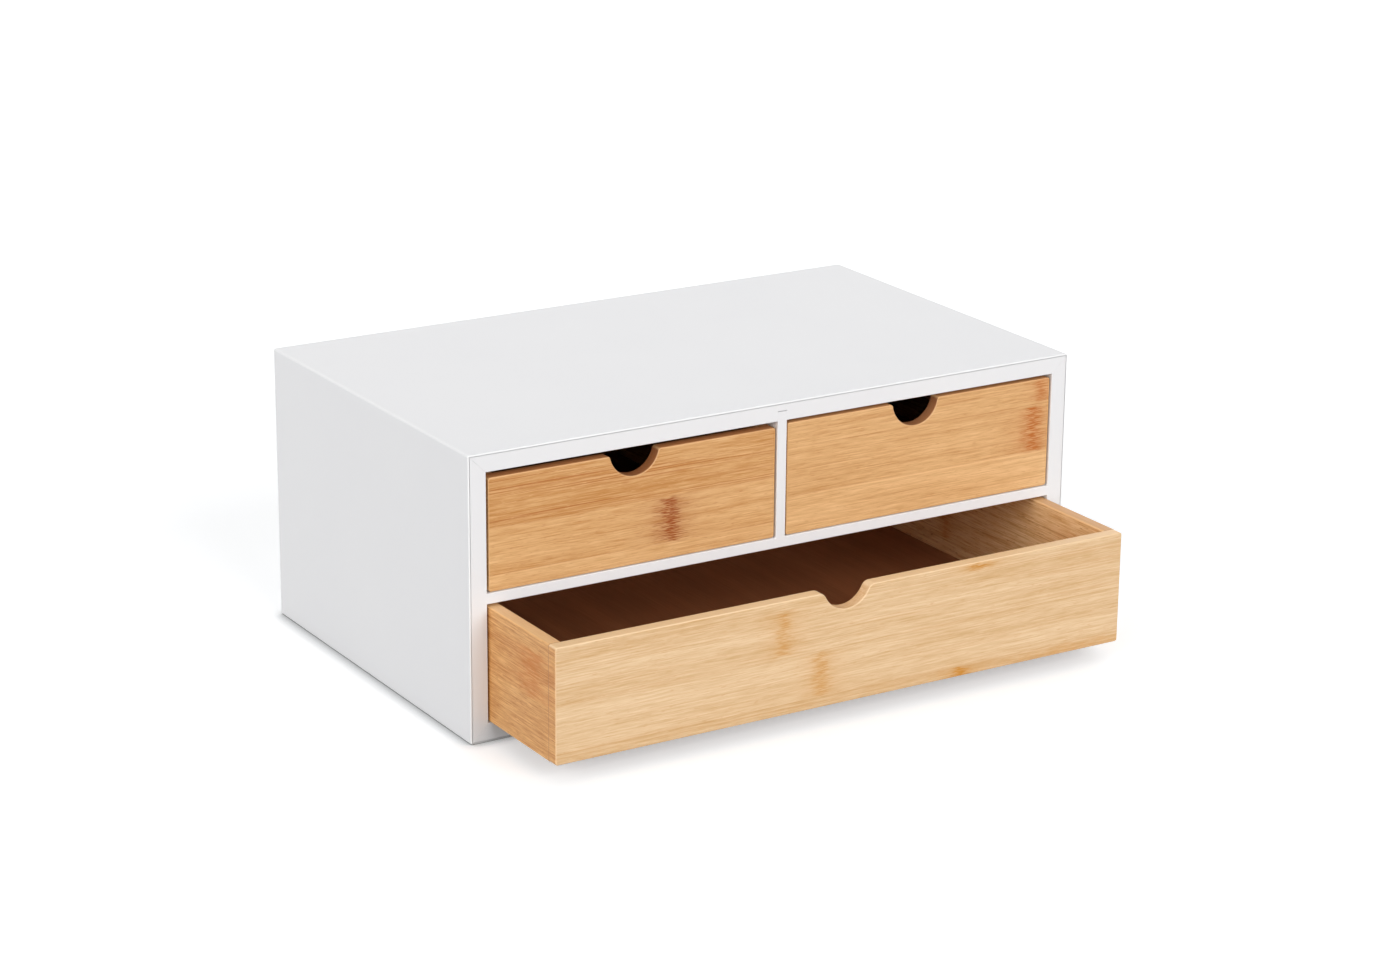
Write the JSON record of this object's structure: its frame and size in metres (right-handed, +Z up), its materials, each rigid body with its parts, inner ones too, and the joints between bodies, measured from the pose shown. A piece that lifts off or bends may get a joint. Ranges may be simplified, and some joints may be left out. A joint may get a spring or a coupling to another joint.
{
  "type": "desktop mini drawers",
  "caption": "Small desktop cabinet in white painted board with two bamboo drawers side by side over one wide bamboo drawer, each pulled by a round finger notch.",
  "frame": {"origin": "centre of the cabinet's underside, on the surface that it stands on", "axes": "+X to the right and +Z up; the drawers face -Y and pull out along -Y"},
  "size_m": [0.33, 0.2605, 0.137],
  "materials": {
    "white_painted_mdf": "medium-density fibreboard, sprayed satin white",
    "bamboo_board": "laminated bamboo board, sanded, clear matt lacquer",
    "bamboo_plywood": "thin bamboo-faced plywood, clear matt lacquer",
    "beech_dowel": "fluted beech dowel, bare",
    "steel_pin": "bright steel panel pin"
  },
  "bodies": {
    "cabinet": {"top_panel": "white_painted_mdf", "bottom_panel": "white_painted_mdf", "left_side_panel": "white_painted_mdf", "right_side_panel": "white_painted_mdf", "middle_shelf": "white_painted_mdf", "centre_divider": "white_painted_mdf", "back_panel": "white_painted_mdf", "back_panel_pins": "steel_pin"},
    "upper_left_drawer": {"upper_left_drawer_front": "bamboo_board", "upper_left_drawer_left_side": "bamboo_board", "upper_left_drawer_right_side": "bamboo_board", "upper_left_drawer_back": "bamboo_board", "upper_left_drawer_bottom": "bamboo_plywood", "upper_left_drawer_dowels": "beech_dowel"},
    "upper_right_drawer": {"upper_right_drawer_front": "bamboo_board", "upper_right_drawer_left_side": "bamboo_board", "upper_right_drawer_right_side": "bamboo_board", "upper_right_drawer_back": "bamboo_board", "upper_right_drawer_bottom": "bamboo_plywood", "upper_right_drawer_dowels": "beech_dowel"},
    "lower_drawer": {"lower_drawer_front": "bamboo_board", "lower_drawer_left_side": "bamboo_board", "lower_drawer_right_side": "bamboo_board", "lower_drawer_back": "bamboo_board", "lower_drawer_bottom": "bamboo_plywood", "lower_drawer_dowels": "beech_dowel"}
  },
  "joints": [
    {"name": "upper_left_drawer_slide", "type": "slide", "parent": "cabinet", "child": "upper_left_drawer", "axis": [0, -1, 0], "range_m": [0, 0.15]},
    {"name": "upper_right_drawer_slide", "type": "slide", "parent": "cabinet", "child": "upper_right_drawer", "axis": [0, -1, 0], "range_m": [0, 0.15]},
    {"name": "lower_drawer_slide", "type": "slide", "parent": "cabinet", "child": "lower_drawer", "axis": [0, -1, 0], "range_m": [-0.061, 0.089]}
  ]
}
